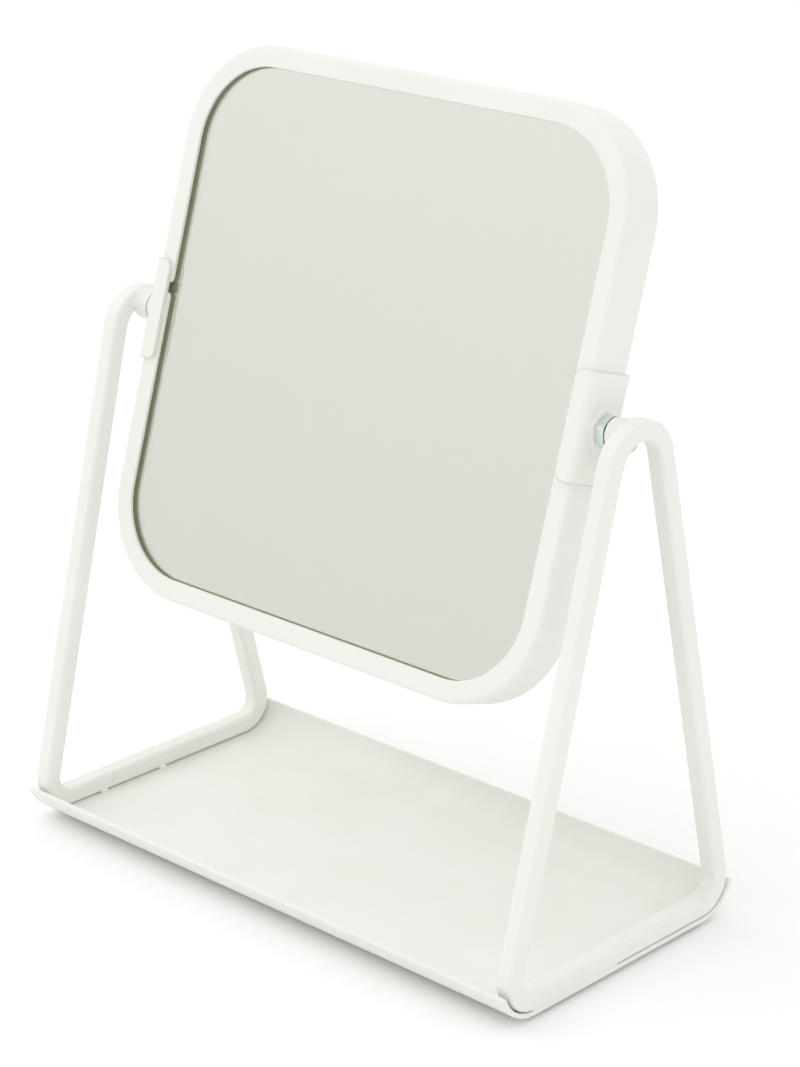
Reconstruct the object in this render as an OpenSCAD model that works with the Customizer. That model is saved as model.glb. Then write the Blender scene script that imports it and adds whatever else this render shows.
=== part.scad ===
// Countertop mirror: a rounded-square mirror that swivels between two bent-bar side frames
// standing on a shallow sheet-steel tray. Millimetres, +Z up, front towards -Y.
// The origin is on the surface that the mirror stands on, under the middle of the tray.

/* [Base tray] */
// Depth of the side frames at their feet, where the lines of the two legs meet the tray
foot_d = 116.8; // [96:0.5:140]
// Sheet thickness of the tray
tray_t = 1.6; // [1:0.1:3]
// How much wider the curl of the front and back edges is than the bar's bend inside it
lip_flare = 2.4; // [1:0.1:6]
// Distance from the start of the bar's bend out to the start of the curl
lip_start = 0; // [0:0.1:3]
// Angle through which those edges curl up
lip_angle = 71; // [40:1:80]

/* [Foot pads] */
// Pad diameter
pad_d = 12; // [8:0.5:20]
// Pad thickness
pad_t = 1.5; // [1:0.1:3]
// Distance from the outer face of a side frame in to the pad's centre
pad_inset_x = 17; // [12:0.5:30]
// Distance from the start of the curled edge in to the pad's centre
pad_inset_y = 9; // [8:0.5:20]

/* [Side frames] */
// Height of the top of the side frames above the surface
frame_h = 186.6; // [155:1:230]
// Side of the square bar
bar = 6.6; // [5:0.1:9]
// Radius on the bar's four long edges
bar_round = 1.4; // [0.5:0.1:2]
// Centre-line radius of the bend at the top
top_bend_r = 12.6; // [10:0.1:16]
// Centre-line radius of the two bends at the foot
foot_bend_r = 8.6; // [7:0.1:11]
// Outward lean of each side frame, in degrees
splay = 0.65; // [0:0.1:1.5]
// Gap between the bar and the tray, which the welds bridge
weld_gap = 0.15; // [0.1:0.01:0.4]
// Radius of a weld bead
bead_r = 1.1; // [0.8:0.1:1.6]
// Length of a tack weld
tack_len = 3.5; // [2:0.5:6]

/* [Pivots] */
// Distance from the top of the side frames down to the pivot axis
pivot_drop = 6.2; // [5.5:0.1:8]
// Diameter of the bosses welded to the side frames
boss_d = 10.5; // [9:0.1:14]
// Distance that a boss stands in from its side frame
boss_len = 5; // [4:0.1:7]
// Diameter of the pivot stud and bolt
pin_d = 6; // [4:0.1:7]
// Radial clearance of the pins in their bosses
pin_clear = 0.05; // [0.02:0.01:0.1]
// Depth of the blind hole in a boss
boss_bore = 3.2; // [2:0.1:5]
// Wall of the lock nut, from its thread to a flat
nut_wall = 2; // [1.5:0.1:3]
// Thickness of the lock nut
nut_t = 3.2; // [2.5:0.1:4]
// Thickness of the friction washer between the lock nut and the boss
washer_t = 0.45; // [0.3:0.05:1]
// Slack between that washer and the boss
washer_slack = 0.05; // [0.02:0.01:0.1]

/* [Mirror] */
// Outer width of the channel rim
ring_w = 193.5; // [160:1:240]
// Outer height of the channel rim
ring_h = 191.2; // [155:0.5:250]
// Outer corner radius of the rim
ring_r = 35; // [20:0.5:60]
// Depth of the rim, front to back
ring_d = 16; // [13:0.5:24]
// Width of the rim's front and back flanges
flange_w = 7.4; // [5:0.1:12]
// Sheet thickness of the rim
ring_t = 1; // [0.8:0.1:1.4]
// Outside bend radius between the flanges and the side
ring_edge_r = 1.6; // [1.5:0.1:2.5]
// Width of the gap where the two ends of the rim meet
split_gap = 3.3; // [1:0.1:6]
// Height of that gap above the pivot axis
split_up = 8.2; // [0:0.1:14]
// Thickness of each glass
glass_t = 2; // [1.5:0.1:3]
// Thickness of the silvering and backing paint
coat_t = 0.2; // [0.1:0.05:0.3]
// Clearance between the edge of the glass and the bend inside the rim
glass_clear = 0.1; // [0.05:0.05:1]
// Clearance between the face of a glass and the rim's flange
glass_seat = 0.05; // [0.02:0.01:0.2]
// Gap between a glass and the coating laid behind it
bond_gap = 0.02; // [0.01:0.01:0.05]
// Backward tilt of the mirror at rest, in degrees
tilt = 16.7; // [0:0.1:30]

/* [Brackets] */
// Height of a bracket
bracket_h = 35; // [28:0.5:45]
// Sheet thickness of a bracket
bracket_t = 1.4; // [1:0.1:2]
// Distance from the inner edge of the rim's flange back to a bracket's edge
bracket_setback = 0.9; // [0:0.1:2]
// Corner radius of a bracket's flanges
bracket_corner = 3; // [1:0.1:5]
// Margin between the base of the raised dish and the front and back of the rim
dish_margin = 0.5; // [0:0.1:1]
// How much smaller in diameter the dish is at its flat top
dish_taper = 3.2; // [2:0.1:4]
// Radius of the dish's domed side
dish_round = 12; // [9:0.5:16]
// Height of the raised dish
dish_h = 0.8; // [0.7:0.05:1.5]
// Thickness of the flat pivot heads held inside the dishes
head_t = 0.6; // [0.4:0.05:0.65]

/* [Hidden] */
$fn = 96;
eps = 0.01;

// What stands on the tray
tray_z = pad_t;
seat_z = tray_z + tray_t;
foot_z = seat_z + weld_gap;

// A side frame is a closed loop: a straight foot, two legs and three bends
top_out_r = top_bend_r + bar / 2;
foot_out_r = foot_bend_r + bar / 2;
top_z = frame_h - top_out_r;
leg_lean = acos(top_out_r / norm([foot_d / 2, top_z - foot_z])) - atan2(top_z - foot_z, foot_d / 2);
foot_bend_y = foot_d / 2 - foot_out_r * (1 + sin(leg_lean)) / cos(leg_lean);
foot_bend_z = foot_z + foot_out_r;
bend_step = 6;
corner_steps = 4;
tack_ys = [-0.66 * foot_bend_y, 0];

// The curled edges of the tray follow the bends at the foot
lip_in_r = foot_out_r + lip_flare;
lip_out_r = lip_in_r + tray_t;
flat_half = foot_bend_y + lip_start;

// The pivot axis runs along X; the stack of pieces on it, from the rim outwards, sets how far
// apart the side frames stand and so the width of the tray
pivot_z = frame_h - pivot_drop;
ring_face_x = ring_w / 2;
bracket_face_x = ring_face_x + bracket_t;
dish_x = bracket_face_x + dish_h;
nut_x = dish_x + nut_t;
boss_x = nut_x + washer_t + washer_slack;
bar_face_x = boss_x + boss_len;
frame_x = bar_face_x + bar / cos(splay) - (pivot_z - foot_z) * tan(splay);
pin_end_gap = 0.2;
pin_tip_x = boss_x + boss_bore - pin_end_gap;
pin_chamfer = 0.4;
pin_hole_d = pin_d + 2 * pin_clear;
nut_corner_d = (pin_d + 2 * nut_wall) / cos(30);
nut_chamfer = 0.5;
washer_d = boss_d - 0.25;

// The dish, and the head inside it
dish_base_d = ring_d - 2 * dish_margin;
dish_top_d = dish_base_d - dish_taper;
head_x = dish_x - bracket_t;
head_d = dish_top_d - 2 * bracket_t - 0.4;
bracket_reach = flange_w - bracket_setback;

// The glass pack inside the rim
glass_w = ring_w - 2 * (ring_edge_r + glass_clear);
glass_h = ring_h - 2 * (ring_edge_r + glass_clear);
glass_r = ring_r - ring_edge_r - glass_clear;
glass_y = ring_d / 2 - ring_t - glass_seat;
coat_y = glass_y - glass_t - bond_gap;
core_d = 2 * (coat_y - coat_t);
split_corner = 1.8;

// Section of the bar, a rounded square: [outwards from the loop's middle, along X], with the
// outer face on x = 0
function bar_section() = let (flat = bar / 2 - bar_round) [
    for (corner = [0:3], step = [0:corner_steps])
        let (a = 90 * (corner + step / corner_steps),
             side = [[1, 1], [-1, 1], [-1, -1], [1, -1]][corner])
            [side[0] * flat + bar_round * cos(a), side[1] * flat + bar_round * sin(a) - bar / 2]
];

// Stations along one bend, each a point on the centre line and the outward angle there
function bend(centre, r, from, to) = let (steps = ceil((to - from) / bend_step)) [
    for (i = [0:steps]) let (a = from + (to - from) * i / steps)
        [centre[0] + r * cos(a), centre[1] + r * sin(a), a]
];

// The whole closed loop: three bends, and the straight foot and legs between them
function loop_path() = concat(
    bend([foot_bend_y, foot_bend_z], foot_bend_r, -90, leg_lean),
    bend([0, top_z], top_bend_r, leg_lean, 180 - leg_lean),
    bend([-foot_bend_y, foot_bend_z], foot_bend_r, 180 - leg_lean, 270)
);

// The bar swept around that path, upright
module loop() {
    section = bar_section();
    path = loop_path();
    m = len(section);
    n = len(path);
    polyhedron(
        points = [for (p = path, s = section) [s[1], p[0] + s[0] * cos(p[2]), p[1] + s[0] * sin(p[2])]],
        faces = [for (i = [0:n - 1], j = [0:m - 1])
            let (k = (i + 1) % n, l = (j + 1) % m) [i * m + j, k * m + j, k * m + l, i * m + l]]
    );
}

// The loop where it stands on the right, leaning out about its lower outer edge
module right_loop() {
    translate([frame_x, 0, foot_z]) rotate([0, splay, 0]) translate([0, 0, -foot_z]) loop();
}

// What lies outwards of the right side frame's inner face, for coping to it
module beyond_bar_face() {
    translate([frame_x, -foot_d / 2, foot_z]) rotate([0, splay, 0])
        translate([-bar, 0, -foot_z]) cube([foot_d, foot_d, frame_h]);
}

// The straight foot of the right side frame, for coping to it
module straight_foot() {
    translate([frame_x, -foot_bend_y, foot_z]) rotate([0, splay, 0])
        translate([-bar / 2, 0, bar / 2]) rotate([-90, 0, 0]) linear_extrude(2 * foot_bend_y) {
            square([bar, bar - 2 * bar_round], center = true);
            square([bar - 2 * bar_round, bar], center = true);
            for (a = [-1, 1], b = [-1, 1])
                translate([a, b] * (bar / 2 - bar_round)) circle(bar_round, $fn = 48);
        }
}

// Rounded rectangle, for the glass pack
module rounded_rect(w, h, r) {
    square([w - 2 * r, h], center = true);
    square([w, h - 2 * r], center = true);
    for (a = [-1, 1], b = [-1, 1])
        translate([a * (w / 2 - r), b * (h / 2 - r)]) circle(r);
}

// Puts a child on the right side, or its mirror image on the left
module on_side(left) {
    if (left) mirror([1, 0, 0]) children();
    else children();
}

// Moves what is drawn about the pivot axis to its place, tilted back
module at_pivot() {
    translate([0, 0, pivot_z]) rotate([-tilt, 0, 0]) children();
}

// A flat layer of the glass pack, its front face at y and thickness t
module layer(y, t) {
    at_pivot() translate([0, y + t, 0]) rotate([90, 0, 0])
        linear_extrude(t) rounded_rect(glass_w, glass_h, glass_r);
}

// A cylinder along X from x1 to x2
module along_x(x1, x2, d) {
    translate([x1, 0, 0]) rotate([0, 90, 0]) cylinder(d = d, h = x2 - x1);
}

// Sheet tray with its front and back edges curled up, its ends left open
module base_tray() color("white") {
    for (back = [0, 1]) mirror([0, back, 0]) {
        translate([-frame_x, -flat_half, tray_z]) cube([2 * frame_x, flat_half + tray_t, tray_t]);
        translate([frame_x, -flat_half, tray_z + lip_out_r]) rotate([0, -90, 0]) rotate([0, 0, 180])
            rotate_extrude(angle = lip_angle) translate([lip_in_r, 0])
                square([tray_t, 2 * frame_x]);
    }
}

module left_side_frame() color("white") on_side(true) right_loop();

module right_side_frame() color("white") right_loop();

// Tack welds along the inner edge of the foot, and a longer run along its outer edge
module frame_welds() {
    inner_x = frame_x - bar + bar_round / 2;
    outer_x = frame_x - bar_round / 2;
    difference() {
        union() {
            for (y = tack_ys) translate([inner_x, y + tack_len / 2, seat_z + bar_round / 2])
                rotate([90, 0, 0]) cylinder(r = bead_r, h = tack_len);
            translate([outer_x, -tack_len / 2, seat_z + bar_round / 2])
                rotate([90, 0, 0]) cylinder(r = bead_r, h = foot_bend_y - tack_len);
        }
        straight_foot();
        translate([0, -foot_d / 2, seat_z - 2 * bead_r]) cube([frame_x, foot_d, 2 * bead_r]);
        translate([frame_x, -foot_d / 2, 0]) cube([bar, foot_d, bar + foot_z]);
    }
}

module left_frame_welds() color("white") on_side(true) frame_welds();

module right_frame_welds() color("white") frame_welds();

// Short blind boss, coped to the inner face of its side frame
module pivot_boss() {
    difference() {
        translate([0, 0, pivot_z]) along_x(boss_x, bar_face_x + bar_round, boss_d);
        translate([0, 0, pivot_z]) along_x(boss_x - eps, boss_x + boss_bore, pin_hole_d);
        beyond_bar_face();
    }
}

module left_pivot_boss() color("white") on_side(true) pivot_boss();

module right_pivot_boss() color("white") pivot_boss();

// Round stick-on pad under one corner of the tray
module foot_pad(side, end) color("dimgray") {
    translate([side * (frame_x - pad_inset_x), end * (flat_half - pad_inset_y), 0])
        cylinder(d = pad_d, h = pad_t);
}

module front_left_foot_pad() foot_pad(-1, -1);

module front_right_foot_pad() foot_pad(1, -1);

module rear_left_foot_pad() foot_pad(-1, 1);

module rear_right_foot_pad() foot_pad(1, 1);

// The rim's channel section, opening inwards, with its outer face on x = r
module channel_section(r) {
    half = ring_d / 2;
    inner_r = ring_edge_r - ring_t;
    translate([r - ring_t, -half + ring_edge_r]) square([ring_t, ring_d - 2 * ring_edge_r]);
    for (back = [0, 1]) mirror([0, back]) {
        translate([r - flange_w, -half]) square([flange_w - ring_edge_r, ring_t]);
        translate([r - ring_edge_r, -half + ring_edge_r]) difference() {
            intersection() {
                circle(ring_edge_r, $fn = 48);
                translate([0, -ring_edge_r]) square(ring_edge_r);
            }
            circle(inner_r, $fn = 48);
        }
    }
}

// One straight stretch of the rim, centred on the x axis at distance r, of length len
module rim_straight(r, len) {
    translate([0, 0, -len / 2]) linear_extrude(len) channel_section(r);
}

// The gap between the rim's two ends, with rounded corners on the flanges' inner edges
module rim_split() {
    reach = 2 * flange_w;
    edge_x = -ring_w / 2 + flange_w;
    translate([0, ring_d, split_up]) rotate([90, 0, 0]) linear_extrude(2 * ring_d) {
        translate([-ring_w / 2 - reach, -split_gap / 2]) square([2 * reach, split_gap]);
        for (up = [0, 1]) mirror([0, up])
            translate([edge_x - split_corner, split_gap / 2]) difference() {
                square(split_corner + eps);
                translate([0, split_corner]) circle(split_corner, $fn = 48);
            }
    }
}

// Rolled channel rim around the glass, its ends meeting behind the left bracket
module mirror_ring() color("white") at_pivot() difference() {
    union() {
        for (side = [0, 180]) {
            rotate([0, side, 0]) rim_straight(ring_w / 2, ring_h - 2 * ring_r);
            rotate([0, side + 90, 0]) rim_straight(ring_h / 2, ring_w - 2 * ring_r);
        }
        for (a = [-1, 1], b = [-1, 1])
            translate([a * (ring_w / 2 - ring_r), 0, b * (ring_h / 2 - ring_r)])
                mirror([a < 0 ? 1 : 0, 0, 0]) mirror([0, 0, b < 0 ? 1 : 0])
                    rotate([90, 0, 0]) rotate_extrude(angle = 90) channel_section(ring_r);
    }
    rim_split();
}

module front_glass() color("lightblue") layer(-glass_y, glass_t);

module front_silvering() color("silver") layer(-coat_y, coat_t);

module core_board() color("tan") layer(-core_d / 2, core_d);

module back_silvering() color("silver") layer(core_d / 2, coat_t);

module back_glass() color("lightblue") layer(glass_y - glass_t, glass_t);

// Sheet clip that wraps the rim, with a raised dish that holds the pivot's head
module bracket() {
    wrap_d = ring_d + 2 * bracket_t;
    edge_x = ring_face_x - bracket_reach;
    outer_r = ring_edge_r + bracket_t;
    difference() {
        union() {
            intersection() {
                difference() {
                    bracket_block(bracket_face_x, wrap_d, outer_r);
                    bracket_block(ring_face_x, ring_d, ring_edge_r);
                }
                translate([0, wrap_d / 2, 0]) rotate([90, 0, 0]) linear_extrude(wrap_d)
                    translate([edge_x + bracket_h / 2, 0])
                        rounded_rect(bracket_h, bracket_h, bracket_corner);
            }
            dish_dome();
        }
        translate([ring_face_x, 0, 0]) rotate([0, 90, 0])
            cylinder(d1 = dish_base_d - 2 * bracket_t, d2 = dish_top_d - 2 * bracket_t, h = dish_h);
        along_x(ring_face_x, dish_x + eps, pin_hole_d);
    }
}

// Solid dish above the rim's face: a low dome with a flat top
module dish_dome() {
    dome_x = dish_x - sqrt(pow(dish_round, 2) - pow(dish_top_d / 2, 2));
    intersection() {
        translate([dome_x, 0, 0]) sphere(dish_round, $fn = 256);
        along_x(ring_face_x, dish_x, dish_base_d);
    }
}

// Solid block around the rim's section, as tall as a bracket, with its outer face on x
module bracket_block(x, d, r) {
    start_x = ring_face_x - bracket_reach - eps;
    translate([0, 0, -bracket_h / 2]) linear_extrude(bracket_h) {
        translate([start_x, -d / 2]) square([x - r - start_x, d]);
        translate([start_x, -d / 2 + r]) square([x - start_x, d - 2 * r]);
        for (b = [-1, 1]) translate([x - r, b * (d / 2 - r)]) circle(r, $fn = 48);
    }
}

module left_bracket() color("white") at_pivot() on_side(true) bracket();

module right_bracket() color("white") at_pivot() bracket();

// Pin turned in one piece, with a flat round head inside the dish and its tip in the boss. The
// extra points add a shoulder.
module pivot_pin(shoulder = []) {
    rotate([0, 90, 0]) rotate_extrude() polygon(concat(
        [[0, head_x - head_t], [head_d / 2, head_x - head_t], [head_d / 2, head_x],
         [pin_d / 2, head_x]],
        shoulder,
        [[pin_d / 2, pin_tip_x - pin_chamfer], [pin_d / 2 - pin_chamfer, pin_tip_x],
         [0, pin_tip_x]]
    ));
}

// The left pin has a shoulder, which fills the space that the lock nut takes on the right
module left_pivot_stud() color("white") at_pivot() on_side(true)
    pivot_pin([[pin_d / 2, dish_x], [boss_d / 2, dish_x], [boss_d / 2, nut_x], [pin_d / 2, nut_x]]);

module right_pivot_bolt() color("silver") at_pivot() pivot_pin();

// Thin hexagon nut, its corners chamfered on both faces, with a flat facing the front
module right_lock_nut() color("lightsteelblue") at_pivot() {
    corner_r = nut_corner_d / 2;
    rise = nut_chamfer * tan(30);
    difference() {
        intersection() {
            translate([dish_x, 0, 0]) rotate([tilt, 0, 0]) rotate([0, 90, 0])
                cylinder(r = corner_r, h = nut_t, $fn = 6);
            translate([dish_x, 0, 0]) rotate([0, 90, 0]) rotate_extrude()
                polygon([[0, 0], [corner_r - nut_chamfer, 0], [corner_r, rise],
                         [corner_r, nut_t - rise], [corner_r - nut_chamfer, nut_t], [0, nut_t]]);
        }
        along_x(dish_x - eps, nut_x + eps, pin_hole_d);
    }
}

// Thin fibre washer that rubs between the lock nut and the boss
module right_friction_washer() color("black") at_pivot() difference() {
    along_x(nut_x, boss_x - washer_slack, washer_d);
    along_x(nut_x - eps, boss_x, pin_hole_d);
}

base_tray();
left_side_frame();
right_side_frame();
left_frame_welds();
right_frame_welds();
left_pivot_boss();
right_pivot_boss();
front_left_foot_pad();
front_right_foot_pad();
rear_left_foot_pad();
rear_right_foot_pad();
mirror_ring();
front_glass();
front_silvering();
core_board();
back_silvering();
back_glass();
left_bracket();
right_bracket();
left_pivot_stud();
right_pivot_bolt();
right_lock_nut();
right_friction_washer();
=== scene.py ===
import math

import bmesh
import bpy
from mathutils import Matrix, Vector


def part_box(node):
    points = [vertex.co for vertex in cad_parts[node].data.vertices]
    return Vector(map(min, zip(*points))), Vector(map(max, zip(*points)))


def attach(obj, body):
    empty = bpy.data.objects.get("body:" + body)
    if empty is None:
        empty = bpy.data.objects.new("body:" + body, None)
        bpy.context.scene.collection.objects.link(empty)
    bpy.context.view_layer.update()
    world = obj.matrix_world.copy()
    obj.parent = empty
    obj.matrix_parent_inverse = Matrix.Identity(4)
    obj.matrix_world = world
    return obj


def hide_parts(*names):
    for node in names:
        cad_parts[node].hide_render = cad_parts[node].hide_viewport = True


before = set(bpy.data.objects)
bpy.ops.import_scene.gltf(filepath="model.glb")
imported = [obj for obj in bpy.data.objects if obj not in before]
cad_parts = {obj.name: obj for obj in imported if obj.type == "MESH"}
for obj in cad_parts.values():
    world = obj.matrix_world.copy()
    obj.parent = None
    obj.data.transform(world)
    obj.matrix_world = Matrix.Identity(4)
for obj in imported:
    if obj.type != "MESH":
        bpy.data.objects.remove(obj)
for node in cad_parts.values():
    node.data.update()
bpy.context.view_layer.update()


# ---- Camera ------------------------------------------------------------------------------
# A long lens on a tripod, a little above the mirror and off to its right, looking down at
# it, so that the front, the right side and the top of the tray are all in view.
MM = 0.001

camera_place = Vector((634.8, -665.6, 459.1)) * MM
camera_azimuth = math.radians(43.023)
camera_elevation = math.radians(20.124)
camera_roll = math.radians(0.232)

camera_back = Vector((
    math.sin(camera_azimuth) * math.cos(camera_elevation),
    -math.cos(camera_azimuth) * math.cos(camera_elevation),
    math.sin(camera_elevation),
))
level_right = Vector((math.cos(camera_azimuth), math.sin(camera_azimuth), 0))
level_up = camera_back.cross(level_right)
camera_right = level_right * math.cos(camera_roll) + level_up * math.sin(camera_roll)
camera_up = level_up * math.cos(camera_roll) - level_right * math.sin(camera_roll)

lens = bpy.data.cameras.new("camera_lens")
lens.sensor_width = 36
lens.lens = 99.37
lens.clip_start = 0.01
lens.clip_end = 200
camera = bpy.data.objects.new("camera", lens)
bpy.context.scene.collection.objects.link(camera)
turn = Matrix((camera_right, camera_up, camera_back)).transposed()
camera.matrix_world = Matrix.Translation(camera_place) @ turn.to_4x4()
bpy.context.scene.camera = camera


# ---- Side frames -------------------------------------------------------------------------
# Each is one length of square steel bar with rounded edges, bent three times into a closed
# loop. Its two ends are butt-welded in the middle of the foot, and the joint is dressed
# almost flush. The whole stand is white polyester powder coat, baked on in one piece.
BAR = 6.6 * MM
BAR_ROUND = 1.4 * MM
FRAME_TOP = 186.6 * MM
FOOT_DEPTH = 116.8 * MM
TOP_BEND = 12.6 * MM
FOOT_BEND = 8.6 * MM
SPLAY = math.radians(0.65)
SHEET = 1.6 * MM
WELD_GAP = 0.15 * MM
BUTT_WELD = 1.4 * MM
BUTT_RISE = 1.035
BUTT_CROWN = 0.4

tray_low, tray_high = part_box("base_tray")
frame_x = tray_high.x
seat_z = tray_low.z + SHEET
foot_z = seat_z + WELD_GAP

COAT_WHITE = "ECECE7"
COAT_SHADE = "E9E8E2"
COAT_SPECK = "C9C5B8"


def linear(colour):
    """An sRGB hex colour as linear red, green, blue and alpha."""
    parts = [int(colour[i : i + 2], 16) / 255 for i in (0, 2, 4)]
    turned = [p / 12.92 if p <= 0.04045 else ((p + 0.055) / 1.055) ** 2.4 for p in parts]
    return (*turned, 1.0)


def add_node(tree, kind, settings=None, inputs=None, links=None):
    """A shader node with its settings, its socket values and what feeds its sockets."""
    made = tree.nodes.new("ShaderNode" + kind)
    for name, value in (settings or {}).items():
        setattr(made, name, value)
    for name, value in (inputs or {}).items():
        made.inputs[name].default_value = value
    for name, source in (links or {}).items():
        tree.links.new(source, made.inputs[name])
    return made


def new_material(name):
    """An empty node material, its tree and its output node."""
    made = bpy.data.materials.new(name)
    made.use_nodes = True
    made.node_tree.nodes.clear()
    return made, made.node_tree, add_node(made.node_tree, "OutputMaterial")


def white_powder_coat(name, edge_round, peel=1.0):
    """Polyester powder baked on sheet and bar: semi-gloss, off-white, with a faint orange
    peel about 1.6 mm across, a few dust nibs, and every edge drawn round by the coat."""
    material, tree, output = new_material(name)
    place = add_node(tree, "TexCoord").outputs["Object"]
    cloud = add_node(tree, "TexNoise", inputs={"Scale": 22, "Detail": 3}, links={"Vector": place})
    drift = add_node(tree, "MapRange", inputs={"From Min": 0.35, "From Max": 0.65},
                     links={"Value": cloud.outputs["Fac"]})
    coat = add_node(tree, "Mix", {"data_type": "RGBA"},
                    {"A": linear(COAT_WHITE), "B": linear(COAT_SHADE)},
                    {"Factor": drift.outputs["Result"]})
    cells = add_node(tree, "TexVoronoi", {"feature": "F1"}, {"Scale": 95, "Randomness": 1},
                     {"Vector": place})
    chosen = add_node(tree, "SeparateColor", links={"Color": cells.outputs["Color"]})
    is_nib = add_node(tree, "MapRange", inputs={"From Min": 0.90, "From Max": 0.94},
                      links={"Value": chosen.outputs["Red"]})
    near = add_node(tree, "MapRange", inputs={"From Min": 0.030, "From Max": 0.012},
                    links={"Value": cells.outputs["Distance"]})
    nib = add_node(tree, "Math", {"operation": "MULTIPLY"},
                   links={0: is_nib.outputs["Result"], 1: near.outputs["Result"]})
    colour = add_node(tree, "Mix", {"data_type": "RGBA"}, {"B": linear(COAT_SPECK)},
                      {"Factor": nib.outputs["Value"], "A": coat.outputs["Result"]})
    peel_noise = add_node(tree, "TexNoise", inputs={"Scale": 620, "Detail": 2, "Roughness": 0.4},
                          links={"Vector": place})
    gloss = add_node(tree, "MapRange", inputs={"To Min": 0.36, "To Max": 0.46},
                     links={"Value": cloud.outputs["Fac"]})
    round_edge = add_node(tree, "Bevel", {"samples": 6}, {"Radius": edge_round})
    peel_bump = add_node(tree, "Bump", inputs={"Strength": 0.35 * peel, "Distance": 0.03 * MM},
                         links={"Height": peel_noise.outputs["Fac"],
                                "Normal": round_edge.outputs["Normal"]})
    nib_bump = add_node(tree, "Bump", inputs={"Strength": 0.5, "Distance": 0.10 * MM},
                        links={"Height": nib.outputs["Value"],
                               "Normal": peel_bump.outputs["Normal"]})
    shader = add_node(tree, "BsdfPrincipled", inputs={"IOR": 1.5, "Metallic": 0},
                      links={"Base Color": colour.outputs["Result"],
                             "Roughness": gloss.outputs["Result"],
                             "Normal": nib_bump.outputs["Normal"]})
    tree.links.new(shader.outputs["BSDF"], output.inputs["Surface"])
    return material


def select_only(*chosen):
    """Only these objects selected, the first of them active."""
    bpy.ops.object.select_all(action="DESELECT")
    for one in chosen:
        one.select_set(True)
    bpy.context.view_layer.objects.active = chosen[0]


def pull(along, grow=1.0, about=None):
    """Extrudes the open end by a vector, and swells or shrinks it about a point."""
    bpy.ops.mesh.extrude_region_move(TRANSFORM_OT_translate={"value": along})
    if grow != 1.0:
        bpy.ops.transform.resize(value=(grow, grow, grow), center_override=about)


def put_material(piece, material):
    """One material all over a piece."""
    piece.data.materials.clear()
    piece.data.materials.append(material)


def smooth_by_angle(piece, degrees):
    """Smooth shading, with an edge kept wherever the surface turns by more."""
    select_only(piece)
    bpy.ops.object.shade_smooth_by_angle(angle=math.radians(degrees))


def apply_modifier(piece, kind, **settings):
    """Adds one modifier and applies it."""
    select_only(piece)
    added = piece.modifiers.new(kind.lower(), kind)
    for name, value in settings.items():
        setattr(added, name, value)
    bpy.ops.object.modifier_apply(modifier=added.name)


def close_and_turn_out(piece, reach=0.01 * MM):
    """Merges what lies together and points every face outwards."""
    select_only(piece)
    bpy.ops.object.mode_set(mode="EDIT")
    bpy.ops.mesh.select_all(action="SELECT")
    bpy.ops.mesh.remove_doubles(threshold=reach)
    bpy.ops.mesh.normals_make_consistent(inside=False)
    bpy.ops.object.mode_set(mode="OBJECT")


def set_down(piece, place=(0, 0, 0), turned=(0, 0, 0), scaled=(1, 1, 1)):
    """Moves a finished piece and leaves the move in its mesh."""
    piece.location, piece.rotation_euler, piece.scale = place, turned, scaled
    select_only(piece)
    bpy.ops.object.transform_apply(location=True, rotation=True, scale=True)


def mirrored_copy(piece, name):
    """The same piece for the left side, with a mesh of its own."""
    copy = piece.copy()
    copy.data = piece.data.copy()
    copy.name = copy.data.name = name
    bpy.context.scene.collection.objects.link(copy)
    set_down(copy, scaled=(-1, 1, 1))
    close_and_turn_out(copy)
    return copy


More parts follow.
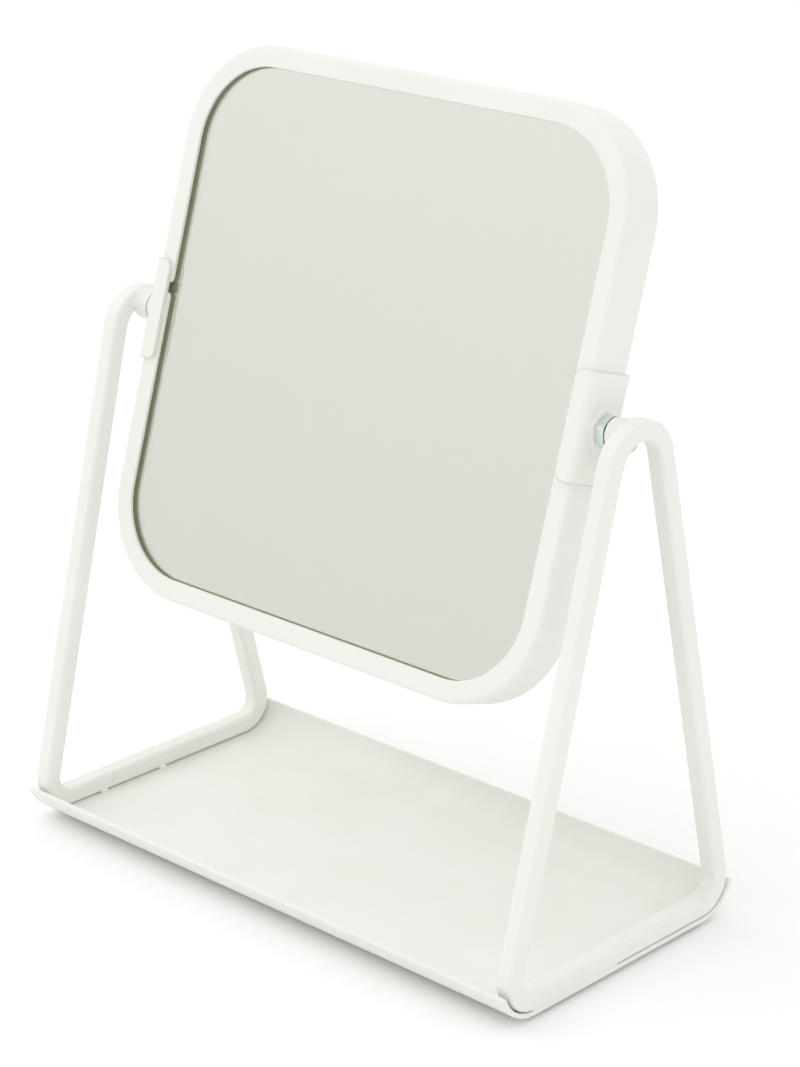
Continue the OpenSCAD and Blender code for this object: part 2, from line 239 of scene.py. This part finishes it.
def bend_side_frame(name):
    """The bar bent up in its own upright plane, its lower outer edge on the X and Z axes."""
    top_out = TOP_BEND + BAR / 2
    foot_out = FOOT_BEND + BAR / 2
    top_z = FRAME_TOP - top_out - foot_z
    half = FOOT_DEPTH / 2
    lean = math.acos(top_out / math.hypot(half, top_z)) - math.atan2(top_z, half)
    foot_y = half - foot_out * (1 + math.sin(lean)) / math.cos(lean)
    leg_start = Vector((0, foot_y + FOOT_BEND * math.cos(lean),
                        foot_out + FOOT_BEND * math.sin(lean)))
    leg_end = Vector((0, TOP_BEND * math.cos(lean), top_z + TOP_BEND * math.sin(lean)))
    leg = leg_end - leg_start
    middle = Vector((-BAR / 2, 0, BAR / 2))
    swell = math.sqrt(BUTT_RISE)

    bpy.ops.object.select_all(action="DESELECT")
    bpy.ops.mesh.primitive_plane_add(size=BAR, location=middle,
                                     rotation=(math.radians(90), 0, 0))
    made = bpy.context.object
    made.name = made.data.name = name
    set_down(made, place=middle, turned=(math.radians(90), 0, 0))
    bpy.ops.object.mode_set(mode="EDIT")
    bpy.ops.mesh.select_all(action="SELECT")
    bpy.ops.mesh.bevel(offset=BAR_ROUND, segments=6, affect="VERTICES")
    bpy.ops.mesh.delete(type="ONLY_FACE")
    bpy.ops.mesh.select_all(action="SELECT")
    bpy.ops.transform.resize(value=(BUTT_RISE,) * 3, center_override=middle)
    crown = Vector((0, BUTT_WELD * BUTT_CROWN, 0))
    fall = Vector((0, BUTT_WELD * (1 - BUTT_CROWN), 0))
    pull(crown, 1 / swell, middle + crown)
    pull(fall, 1 / swell, middle + Vector((0, BUTT_WELD, 0)))
    pull((0, foot_y - BUTT_WELD, 0))
    bpy.ops.mesh.spin(steps=26, angle=-math.pi / 2 - lean, center=(0, foot_y, foot_out),
                      axis=(1, 0, 0))
    pull(leg)
    bpy.ops.mesh.spin(steps=36, angle=2 * lean - math.pi, center=(0, 0, top_z),
                      axis=(1, 0, 0))
    pull((0, leg.y, -leg.z))
    bpy.ops.mesh.spin(steps=26, angle=-math.pi / 2 - lean, center=(0, -foot_y, foot_out),
                      axis=(1, 0, 0))
    pull((0, foot_y - BUTT_WELD, 0))
    pull(fall, swell, middle - crown)
    pull(crown, swell, middle)
    bpy.ops.object.mode_set(mode="OBJECT")
    close_and_turn_out(made)
    return made


stand_coat = white_powder_coat("white_powder_coat_on_bar", 0.3 * MM)
right_frame = bend_side_frame("right_bent_bar_frame")
set_down(right_frame, place=(frame_x, 0, foot_z), turned=(0, SPLAY, 0))
left_frame = mirrored_copy(right_frame, "left_bent_bar_frame")
for piece, node in ((right_frame, "right_side_frame"), (left_frame, "left_side_frame")):
    smooth_by_angle(piece, 35)
    apply_modifier(piece, "WEIGHTED_NORMAL", keep_sharp=True)
    put_material(piece, stand_coat)
    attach(piece, "stand")
    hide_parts(node)


# ---- Pivot bosses and the welds that hold them -------------------------------------------
# A short turned steel boss stands in from the top of each frame. One pass of weld runs over
# the top of it, where it meets the bar, and the powder coat softens that fillet further.
FILLET = (
    # radius beyond the boss, distance in from the bar's face, both in millimetres
    (-0.4, 3.3),
    (0.02, 3.2),
    (0.16, 2.0),
    (0.55, 0.9),
    (1.1, 0.25),
    (1.7, -0.05),
    (1.7, -0.9),
    (-0.4, -0.9),
)
FILLET_FULL = math.radians(70)
FILLET_ENDS = math.radians(112)
FILLET_THIN = 0.15
FILLET_SUNK = 0.1 * MM
ARCH_INSET = 0.5 * MM


def run_boss_fillet(name, node):
    """A fillet weld round the upper part of a boss, thinning out at its two ends."""
    low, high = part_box(node)
    radius = (high.y - low.y) / 2
    centre = Vector((0, (low.y + high.y) / 2, (low.z + high.z) / 2))
    face_x = high.x
    arch_z = FRAME_TOP - TOP_BEND - BAR / 2
    arch_reach = TOP_BEND + BAR / 2 - ARCH_INSET
    bpy.ops.object.select_all(action="DESELECT")
    bpy.ops.mesh.primitive_circle_add(vertices=96, radius=radius)
    made = bpy.context.object
    made.name = made.data.name = name
    first_x = face_x - FILLET[0][1] * MM
    set_down(made, place=(first_x, centre.y, centre.z), turned=(0, math.radians(90), 0))
    bpy.ops.object.mode_set(mode="EDIT")
    bpy.ops.mesh.select_all(action="SELECT")
    at_x = first_x
    ring = radius
    start = radius + FILLET[0][0] * MM
    bpy.ops.transform.resize(value=(1, start / ring, start / ring),
                             center_override=(at_x, centre.y, centre.z))
    ring = start
    for beyond, inward in FILLET[1:]:
        next_x = face_x - inward * MM
        wanted = radius + beyond * MM
        bpy.ops.mesh.extrude_region_move(TRANSFORM_OT_translate={"value": (next_x - at_x, 0, 0)})
        bpy.ops.transform.resize(value=(1, wanted / ring, wanted / ring),
                                 center_override=(next_x, centre.y, centre.z))
        at_x, ring = next_x, wanted
    bpy.ops.mesh.select_all(action="SELECT")
    bpy.ops.mesh.select_non_manifold(extend=False)
    bpy.ops.mesh.bridge_edge_loops()
    bpy.ops.object.mode_set(mode="OBJECT")
    for v in made.data.vertices:
        out = Vector((0, v.co.y - centre.y, v.co.z - centre.z))
        angle = abs(math.atan2(out.y, out.z))
        fade = min(1, max(0, (FILLET_ENDS - angle) / (FILLET_ENDS - FILLET_FULL)))
        fade = fade * fade * (3 - 2 * fade)
        if out.length > radius:
            wanted = radius + (out.length - radius) * fade - FILLET_SUNK * (1 - fade)
            out *= wanted / out.length
        v.co.y, v.co.z = centre.y + out.y, centre.z + out.z
        if v.co.x < face_x:
            spread = FILLET_THIN + (1 - FILLET_THIN) * fade
            v.co.x = face_x - (face_x - v.co.x) * spread
        from_arch = Vector((0, v.co.y, v.co.z - arch_z))
        if from_arch.length > arch_reach:
            from_arch *= arch_reach / from_arch.length
            v.co.y, v.co.z = from_arch.y, from_arch.z + arch_z
    close_and_turn_out(made)
    return made


right_fillet = run_boss_fillet("right_boss_fillet_weld", "right_pivot_boss")
left_fillet = mirrored_copy(right_fillet, "left_boss_fillet_weld")
for piece in (right_fillet, left_fillet):
    smooth_by_angle(piece, 60)
    put_material(piece, stand_coat)
    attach(piece, "stand")
boss_coat = white_powder_coat("white_powder_coat_on_boss", 0.5 * MM)
for node in ("right_pivot_boss", "left_pivot_boss"):
    put_material(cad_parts[node], boss_coat)


# ---- Base tray ---------------------------------------------------------------------------
# One piece of 1.6 mm steel sheet, cut square, with its front and back edges rolled up on a
# press and its ends left open. Deburring and the powder coat leave every cut edge rounded.
CURL_ANGLE = math.radians(71)
CURL_OUTER = 15.9 * MM
EDGE_ROUND = 0.45 * MM

tray_depth = tray_high.y - tray_low.y
curl_reach = CURL_OUTER * math.sin(CURL_ANGLE)
flat_y = tray_depth / 2 - curl_reach
bpy.ops.object.select_all(action="DESELECT")
bpy.ops.mesh.primitive_grid_add(x_subdivisions=24, y_subdivisions=8, size=1)
tray = bpy.context.object
tray.name = tray.data.name = "rolled_edge_tray"
set_down(tray, place=(0, 0, tray_low.z), scaled=(2 * frame_x, 2 * flat_y, 1))
for side in (1, -1):
    select_only(tray)
    bpy.ops.object.mode_set(mode="EDIT")
    bpy.ops.mesh.select_all(action="DESELECT")
    mesh = bmesh.from_edit_mesh(tray.data)
    for edge in mesh.edges:
        edge.select_set(all(abs(v.co.y - side * flat_y) < 0.01 * MM for v in edge.verts))
    mesh.select_flush(True)
    bmesh.update_edit_mesh(tray.data)
    bpy.ops.mesh.spin(steps=20, angle=-side * CURL_ANGLE,
                      center=(0, side * flat_y, tray_low.z + CURL_OUTER), axis=(1, 0, 0))
    bpy.ops.object.mode_set(mode="OBJECT")
close_and_turn_out(tray)
select_only(tray)
bpy.ops.object.mode_set(mode="EDIT")
bpy.ops.mesh.select_all(action="SELECT")
mesh = bmesh.from_edit_mesh(tray.data)
mesh.faces.ensure_lookup_table()
flat_face = min(mesh.faces, key=lambda face: face.calc_center_median().length)
if flat_face.normal.z > 0:
    bpy.ops.mesh.flip_normals()
bpy.ops.object.mode_set(mode="OBJECT")
apply_modifier(tray, "SOLIDIFY", thickness=SHEET, offset=-1, use_even_offset=True)
apply_modifier(tray, "BEVEL", width=EDGE_ROUND, segments=4, limit_method="ANGLE",
               angle_limit=math.radians(60))
smooth_by_angle(tray, 35)
apply_modifier(tray, "WEIGHTED_NORMAL", keep_sharp=True)
put_material(tray, white_powder_coat("white_powder_coat_on_tray", 0.3 * MM, peel=1.3))
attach(tray, "stand")
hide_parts("base_tray")


# ---- Welds between the frames and the tray -----------------------------------------------
# Short tacks along the inner edge of each foot, and one longer run under its outer edge, all
# painted over. The runs are built bead by bead, so they rise and dip every 1.6 mm.
BEAD = 1.0 * MM
RIPPLE = 1.6 * MM
TACK = 3.6 * MM
FRONT_TACK_Y = -28.5 * MM
BEAD_RISE = 0.35 * MM
RIPPLE_DIP = 0.10
LONG_RUN_LEAD = 2.5 * MM


def lay_bead(name, start_y, end_y, x):
    """One run of weld along Y: a soft bead whose width swells and shrinks as it goes."""
    steps = max(8, round((end_y - start_y) / (RIPPLE / 4)))
    centre_z = seat_z + BEAD_RISE
    bpy.ops.object.select_all(action="DESELECT")
    bpy.ops.mesh.primitive_circle_add(vertices=20, radius=BEAD)
    made = bpy.context.object
    made.name = made.data.name = name
    set_down(made, place=(x, start_y, centre_z), turned=(math.radians(90), 0, 0))
    bpy.ops.object.mode_set(mode="EDIT")
    bpy.ops.mesh.select_all(action="SELECT")
    length = end_y - start_y
    size = 1.0
    for i in range(steps + 1):
        along = i / steps * length
        end_taper = math.sqrt(max(0.02, 1 - max(0, 1 - min(along, length - along) / BEAD) ** 2))
        dip = 0.5 - 0.5 * math.cos(2 * math.pi * along / RIPPLE)
        wanted = end_taper * (1 - RIPPLE_DIP * dip)
        if i:
            bpy.ops.mesh.extrude_region_move(
                TRANSFORM_OT_translate={"value": (0, length / steps, 0)})
        bpy.ops.transform.resize(value=(wanted / size,) * 3,
                                 center_override=(x, start_y + along, centre_z))
        size = wanted
    bpy.ops.mesh.select_all(action="SELECT")
    bpy.ops.mesh.select_non_manifold(extend=False)
    bpy.ops.mesh.edge_face_add()
    bpy.ops.object.mode_set(mode="OBJECT")
    return made


weld_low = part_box("right_frame_welds")[0]
inner_x = frame_x - BAR + BAR_ROUND * 0.35
outer_x = frame_x - BAR_ROUND * 0.75
beads = [lay_bead("front_tack", FRONT_TACK_Y - TACK / 2, FRONT_TACK_Y + TACK / 2, inner_x),
         lay_bead("middle_tack", -TACK / 2, TACK / 2, inner_x),
         lay_bead("long_run", weld_low.y - LONG_RUN_LEAD, -TACK / 2, outer_x)]
select_only(*beads)
bpy.ops.object.join()
right_beads = bpy.context.object
right_beads.name = right_beads.data.name = "right_foot_weld_beads"
close_and_turn_out(right_beads)
left_beads = mirrored_copy(right_beads, "left_foot_weld_beads")
for piece, node in ((right_beads, "right_frame_welds"), (left_beads, "left_frame_welds")):
    smooth_by_angle(piece, 60)
    put_material(piece, stand_coat)
    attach(piece, "stand")
    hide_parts(node)


# ---- Mirror rim and brackets -------------------------------------------------------------
# A channel rolled from 1 mm steel strip, closed round the glass, its two ends a few
# millimetres apart on the left. A folded sheet bracket clips over it at each side, with a
# pressed dish for the pivot. All of it has the same white powder coat as the stand.
put_material(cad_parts["mirror_ring"],
             white_powder_coat("white_powder_coat_on_rim", 0.35 * MM))
bracket_coat = white_powder_coat("white_powder_coat_on_bracket", 1.0 * MM)
for node in ("left_bracket", "right_bracket"):
    put_material(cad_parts[node], bracket_coat)


# ---- Glass, silvering and core board -----------------------------------------------------
# Two 2 mm float-glass mirrors back to back on a hardboard core. The light goes through the
# glass and comes back from the silvering behind it, which leaves a faint green-grey cast
# and a second image of the rim's edge just inside the rim.
def float_glass():
    """Polished float glass: clear, with the slight green of the iron in it. Light on its way
    to a matt surface passes straight through, as the renderer would otherwise lose it."""
    material, tree, output = new_material("polished_float_glass")
    place = add_node(tree, "TexCoord").outputs["Object"]
    film = add_node(tree, "TexNoise", inputs={"Scale": 30, "Detail": 4}, links={"Vector": place})
    handled = add_node(tree, "MapRange",
                       inputs={"From Min": 0.4, "From Max": 0.8, "To Min": 0.0, "To Max": 0.012},
                       links={"Value": film.outputs["Fac"]})
    shader = add_node(tree, "BsdfPrincipled",
                      inputs={"Base Color": linear("F8F9F7"), "IOR": 1.52,
                              "Transmission Weight": 1.0},
                      links={"Roughness": handled.outputs["Result"]})
    ray = add_node(tree, "LightPath")
    unseen = add_node(tree, "Math", {"operation": "MAXIMUM"},
                      links={0: ray.outputs["Is Diffuse Ray"], 1: ray.outputs["Is Shadow Ray"]})
    clear = add_node(tree, "BsdfTransparent", inputs={"Color": linear("F4F6F0")})
    glass = add_node(tree, "MixShader", links={0: unseen.outputs["Value"],
                                               1: shader.outputs["BSDF"],
                                               2: clear.outputs["BSDF"]})
    tree.links.new(glass.outputs["Shader"], output.inputs["Surface"])
    return material


def silvering():
    """Silver laid on the glass and backed with paint: a bright, very slightly warm mirror.
    It scatters the light that falls on matt surfaces, which a pure mirror would lose."""
    material, tree, output = new_material("silvering_on_glass")
    place = add_node(tree, "TexCoord").outputs["Object"]
    cloud = add_node(tree, "TexNoise", inputs={"Scale": 9, "Detail": 2}, links={"Vector": place})
    tone = add_node(tree, "Mix", {"data_type": "RGBA"},
                    {"A": linear("EFEEE8"), "B": linear("EDECE5")},
                    {"Factor": cloud.outputs["Fac"]})
    shader = add_node(tree, "BsdfPrincipled", inputs={"Metallic": 1.0, "Roughness": 0.005},
                      links={"Base Color": tone.outputs["Result"]})
    ray = add_node(tree, "LightPath")
    spread = add_node(tree, "BsdfDiffuse", links={"Color": tone.outputs["Result"]})
    silver = add_node(tree, "MixShader", links={0: ray.outputs["Is Diffuse Ray"],
                                                1: shader.outputs["BSDF"],
                                                2: spread.outputs["BSDF"]})
    tree.links.new(silver.outputs["Shader"], output.inputs["Surface"])
    return material


def hardboard():
    """Pressed wood fibre, dark brown, with short matted fibres that show at its cut edge."""
    material, tree, output = new_material("hardboard")
    place = add_node(tree, "TexCoord").outputs["Object"]
    fibres = add_node(tree, "TexNoise", inputs={"Scale": 900, "Detail": 4, "Distortion": 1.5},
                      links={"Vector": place})
    colour = add_node(tree, "Mix", {"data_type": "RGBA"},
                      {"A": linear("5A4028"), "B": linear("7C5C3A")},
                      {"Factor": fibres.outputs["Fac"]})
    bump = add_node(tree, "Bump", inputs={"Strength": 0.4, "Distance": 0.1 * MM},
                    links={"Height": fibres.outputs["Fac"]})
    shader = add_node(tree, "BsdfPrincipled", inputs={"Roughness": 0.85},
                      links={"Base Color": colour.outputs["Result"],
                             "Normal": bump.outputs["Normal"]})
    tree.links.new(shader.outputs["BSDF"], output.inputs["Surface"])
    return material


glass_material = float_glass()
silver_material = silvering()
for node in ("front_glass", "back_glass"):
    put_material(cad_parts[node], glass_material)
for node in ("front_silvering", "back_silvering"):
    put_material(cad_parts[node], silver_material)
put_material(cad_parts["core_board"], hardboard())


# ---- Pivot hardware ----------------------------------------------------------------------
# A bolt with a flat head and a thin hexagon lock nut, both of drawn steel with bright zinc
# plate and a blue passivation, and a dark fibre washer that rubs against the boss. The stud
# on the left has a shoulder instead of a nut and is powder-coated with its bracket.
def zinc_plate():
    """Bright zinc on drawn hexagon bar: pale blue-green grey, with fine lines along X."""
    material, tree, output = new_material("blue_passivated_zinc_plate")
    place = add_node(tree, "TexCoord").outputs["Object"]
    drawn = add_node(tree, "Mapping", inputs={"Scale": (0.06, 1, 1)}, links={"Vector": place})
    lines = add_node(tree, "TexNoise", inputs={"Scale": 3200, "Detail": 3},
                     links={"Vector": drawn.outputs["Vector"]})
    cloud = add_node(tree, "TexNoise", inputs={"Scale": 420, "Detail": 2}, links={"Vector": place})
    colour = add_node(tree, "Mix", {"data_type": "RGBA"},
                      {"A": linear("EAF1EF"), "B": linear("D5E2E0")},
                      {"Factor": cloud.outputs["Fac"]})
    rough = add_node(tree, "MapRange", inputs={"To Min": 0.25, "To Max": 0.45},
                     links={"Value": lines.outputs["Fac"]})
    round_edge = add_node(tree, "Bevel", {"samples": 6}, {"Radius": 0.15 * MM})
    bump = add_node(tree, "Bump", inputs={"Strength": 0.3, "Distance": 0.02 * MM},
                    links={"Height": lines.outputs["Fac"],
                           "Normal": round_edge.outputs["Normal"]})
    shader = add_node(tree, "BsdfPrincipled", inputs={"Metallic": 1.0},
                      links={"Base Color": colour.outputs["Result"],
                             "Roughness": rough.outputs["Result"],
                             "Normal": bump.outputs["Normal"]})
    tree.links.new(shader.outputs["BSDF"], output.inputs["Surface"])
    return material


def plain_rough(name, light, dark, scale, roughness, bump_depth):
    """A dull, fine-grained moulded or pressed stuff, mottled between two close colours."""
    material, tree, output = new_material(name)
    place = add_node(tree, "TexCoord").outputs["Object"]
    grain = add_node(tree, "TexNoise", inputs={"Scale": scale, "Detail": 3},
                     links={"Vector": place})
    colour = add_node(tree, "Mix", {"data_type": "RGBA"}, {"A": linear(light), "B": linear(dark)},
                      {"Factor": grain.outputs["Fac"]})
    bump = add_node(tree, "Bump", inputs={"Strength": 0.4, "Distance": bump_depth},
                    links={"Height": grain.outputs["Fac"]})
    shader = add_node(tree, "BsdfPrincipled", inputs={"Roughness": roughness, "IOR": 1.5},
                      links={"Base Color": colour.outputs["Result"],
                             "Normal": bump.outputs["Normal"]})
    tree.links.new(shader.outputs["BSDF"], output.inputs["Surface"])
    return material


zinc = zinc_plate()
for node in ("right_lock_nut", "right_pivot_bolt"):
    put_material(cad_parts[node], zinc)
put_material(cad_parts["left_pivot_stud"], boss_coat)
put_material(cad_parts["right_friction_washer"],
             plain_rough("vulcanised_fibre", "1E1D1B", "100F0E", 1500, 0.6, 0.02 * MM))


# ---- Foot pads ---------------------------------------------------------------------------
# Four plain round rubber pads under the flat of the tray, one near each corner. They are
# stuck on after the powder coat, and the whole mirror stands on them.
pad_rubber = plain_rough("moulded_rubber", "2A2A2A", "1D1D1D", 2200, 0.75, 0.03 * MM)
for node in ("front_left_foot_pad", "front_right_foot_pad", "rear_left_foot_pad",
             "rear_right_foot_pad"):
    put_material(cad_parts[node], pad_rubber)


# ---- Studio ------------------------------------------------------------------------------
# A seamless white sweep, a pale room all round that is a little dimmer low down, and one
# very large soft light high on the left and slightly in front.
ROOM_STRENGTH = 1.03
ROOM_LOW = 0.84
SUN_STRENGTH = 0.36
SUN_WIDTH = math.radians(50)
SUN_FROM = Vector((-0.62, -0.30, 0.66))

bpy.ops.object.select_all(action="DESELECT")
bpy.ops.mesh.primitive_plane_add(size=60)
floor = bpy.context.object
floor.name = floor.data.name = "studio_floor"
floor_paper, tree, output = new_material("white_sweep_paper")
place = add_node(tree, "TexCoord").outputs["Object"]
fibre = add_node(tree, "TexNoise", inputs={"Scale": 60, "Detail": 3}, links={"Vector": place})
tone = add_node(tree, "Mix", {"data_type": "RGBA"},
                {"A": linear("FCFCFC"), "B": linear("FAFAFA")},
                {"Factor": fibre.outputs["Fac"]})
paper = add_node(tree, "BsdfPrincipled", inputs={"Roughness": 0.9, "Specular IOR Level": 0.1},
                 links={"Base Color": tone.outputs["Result"]})
tree.links.new(paper.outputs["BSDF"], output.inputs["Surface"])
put_material(floor, floor_paper)

world = bpy.data.worlds.new("pale_room")
world.use_nodes = True
world.node_tree.nodes.clear()
gaze = add_node(world.node_tree, "TexCoord").outputs["Generated"]
height = add_node(world.node_tree, "SeparateXYZ", links={"Vector": gaze})
glow = add_node(world.node_tree, "MapRange",
                inputs={"From Min": -0.05, "From Max": 0.25,
                        "To Min": ROOM_LOW * ROOM_STRENGTH, "To Max": ROOM_STRENGTH},
                links={"Value": height.outputs["Z"]})
room = add_node(world.node_tree, "Background", inputs={"Color": (1, 1, 1, 1)},
                links={"Strength": glow.outputs["Result"]})
room_output = add_node(world.node_tree, "OutputWorld")
world.node_tree.links.new(room.outputs["Background"], room_output.inputs["Surface"])
bpy.context.scene.world = world

sun_data = bpy.data.lights.new("left_softbox", "SUN")
sun_data.energy = SUN_STRENGTH
sun_data.angle = SUN_WIDTH
sun = bpy.data.objects.new("left_softbox", sun_data)
sun.rotation_mode = "QUATERNION"
sun.rotation_quaternion = SUN_FROM.to_track_quat("Z", "Y")
bpy.context.scene.collection.objects.link(sun)

bpy.context.scene.view_settings.view_transform = "Standard"
bpy.context.scene.view_settings.look = "None"

bpy.context.view_layer.update()
